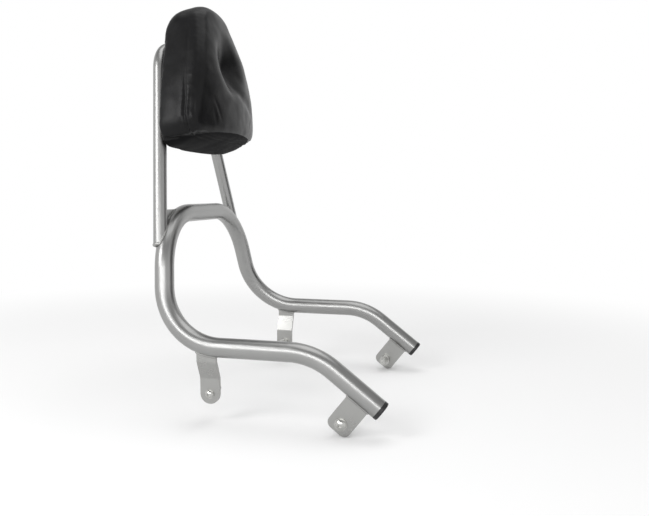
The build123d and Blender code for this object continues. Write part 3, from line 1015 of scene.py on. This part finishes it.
def pale_floor(colour):
    """Matt pale floor, which fades to the white of the background away from the object."""
    material, tree = new_material("pale_floor")
    place = add_node(tree, "ShaderNodeTexCoord").outputs["Object"]
    reach = add_node(tree, "ShaderNodeVectorMath", {0: place}, operation="LENGTH")
    near, away = FLOOR_FADE
    far = add_node(
        tree, "ShaderNodeMapRange",
        {"Value": reach.outputs["Value"], "From Min": near, "From Max": away},
        interpolation_type="SMOOTHSTEP",
    )
    matt = add_node(tree, "ShaderNodeBsdfDiffuse", {"Color": rgba(colour)})
    white = add_node(tree, "ShaderNodeEmission", {"Color": (1, 1, 1, 1), "Strength": 1.0})
    share = add_node(
        tree, "ShaderNodeMath", {0: seen_ray(tree), 1: far.outputs["Result"]},
        operation="MULTIPLY",
    )
    mix = add_node(
        tree, "ShaderNodeMixShader",
        {0: share.outputs[0], 1: matt.outputs["BSDF"], 2: white.outputs["Emission"]},
    )
    add_node(tree, "ShaderNodeOutputMaterial", {"Surface": mix.outputs["Shader"]})
    return material


def felt(colour):
    """Grey felt: matt and even, so that the metal mirrors it as a soft dark edge."""
    material, tree = new_material("grey_felt_card")
    matt = add_node(tree, "ShaderNodeBsdfDiffuse", {"Color": rgba(colour)})
    add_node(tree, "ShaderNodeOutputMaterial", {"Surface": matt.outputs["BSDF"]})
    return material


def white_room(settings):
    """World with white walls and a grey ceiling in the metal, and an even light on the object."""
    world = bpy.data.worlds.new("white_room")
    world.use_nodes = True
    tree = world.node_tree
    tree.nodes.clear()
    facing = add_node(tree, "ShaderNodeTexCoord").outputs["Generated"]
    height = add_node(tree, "ShaderNodeSeparateXYZ", {0: facing})
    low, high = CEILING_RISE
    walls = add_node(
        tree, "ShaderNodeMapRange",
        {
            "Value": height.outputs["Z"], "From Min": low, "From Max": high,
            "To Min": 1.0, "To Max": settings.zenith,
        },
        interpolation_type="SMOOTHSTEP",
    )
    glow = add_node(
        tree, "ShaderNodeMix",
        {"Factor": seen_ray(tree), "A": settings.surround, "B": walls.outputs["Result"]},
    )
    back = add_node(
        tree, "ShaderNodeBackground",
        {"Color": (1, 1, 1, 1), "Strength": glow.outputs["Result"]},
    )
    add_node(tree, "ShaderNodeOutputWorld", {"Surface": back.outputs["Background"]})
    return world


def soft_light(name, place, width, height, power):
    """Soft rectangular light that faces the object."""
    lamp = bpy.data.lights.new(name, "AREA")
    lamp.shape = "RECTANGLE"
    lamp.size = width
    lamp.size_y = height
    lamp.energy = power
    light = bpy.data.objects.new(name, lamp)
    bpy.context.scene.collection.objects.link(light)
    light.location = place
    aim = Vector(LIGHT_AIM) - Vector(place)
    light.rotation_euler = aim.to_track_quat("-Z", "Y").to_euler()


class SISSYBAR_OT_stage(bpy.types.Operator):
    """Sets up the pale floor, the soft lights, the white room and the camera"""

    bl_idname = "sissybar.stage"
    bl_label = "Studio"

    def execute(self, context):
        settings = context.scene.sissy_stage
        scene = context.scene
        scene.view_settings.view_transform = "Standard"
        scene.world = white_room(settings)

        under = CAD_BOX[0][2] - FLOOR_GAP
        floor = flat_panel("studio_floor", FLOOR_SIZE, location=(0, 0, under))
        paint(floor, pale_floor(settings.floor))

        soft_light("key_light", *KEY_LIGHT, settings.key)
        soft_light("side_light", *SIDE_LIGHT, settings.side)
        soft_light("overhead_light", *OVERHEAD_LIGHT, settings.fill)

        # A grey card beside the object gives the tubes their dark right edge
        card = flat_panel("grey_card", CARD_SIZE, location=CARD_PLACE, rotation=CARD_TURN)
        paint(card, felt(settings.card))
        card.visible_camera = False
        card.visible_diffuse = False
        card.visible_shadow = False

        data = bpy.data.cameras.new("photo_camera")
        data.sensor_width = SENSOR
        data.sensor_fit = "HORIZONTAL"
        data.lens = FOCUS_PIXELS / IMAGE_PIXELS * SENSOR
        camera = bpy.data.objects.new("photo_camera", data)
        scene.collection.objects.link(camera)
        camera.location = CAMERA_PLACE
        camera.rotation_euler = (radians(90 - CAMERA_DOWN), 0.0, radians(CAMERA_TURN))
        scene.camera = camera
        return {"FINISHED"}


class SISSYBAR_PT_panel(bpy.types.Panel):
    """Lists the sissy bar's pieces and their settings"""

    bl_idname = "SISSYBAR_PT_panel"
    bl_label = "Sissy Bar"
    bl_space_type = "VIEW_3D"
    bl_region_type = "UI"
    bl_category = "Sissy Bar"

    def draw(self, context):
        layout = self.layout
        for operator in OPERATORS:
            layout.operator(operator.bl_idname)
        for name, group in SETTINGS.items():
            box = layout.box()
            for field in group.__annotations__:
                box.prop(getattr(context.scene, name), field)


OPERATORS = (
    SISSYBAR_OT_cushion,
    SISSYBAR_OT_welds,
    SISSYBAR_OT_threads,
    SISSYBAR_OT_finishes,
    SISSYBAR_OT_stage,
)
SETTINGS = {
    "sissy_cushion": CushionSettings,
    "sissy_weld": WeldSettings,
    "sissy_fastener": FastenerSettings,
    "sissy_finish": FinishSettings,
    "sissy_stage": StageSettings,
}


def register():
    for name, group in SETTINGS.items():
        bpy.utils.register_class(group)
        setattr(bpy.types.Scene, name, PointerProperty(type=group))
    for cls in (*OPERATORS, SISSYBAR_PT_panel):
        bpy.utils.register_class(cls)


def unregister():
    for cls in (SISSYBAR_PT_panel, *reversed(OPERATORS)):
        bpy.utils.unregister_class(cls)
    for name, group in reversed(SETTINGS.items()):
        delattr(bpy.types.Scene, name)
        bpy.utils.unregister_class(group)


def main():
    register()
    bpy.ops.sissybar.cushion()
    bpy.ops.sissybar.welds()
    bpy.ops.sissybar.threads()
    bpy.ops.sissybar.finishes()
    bpy.ops.sissybar.stage()


if __name__ == "__main__":
    main()
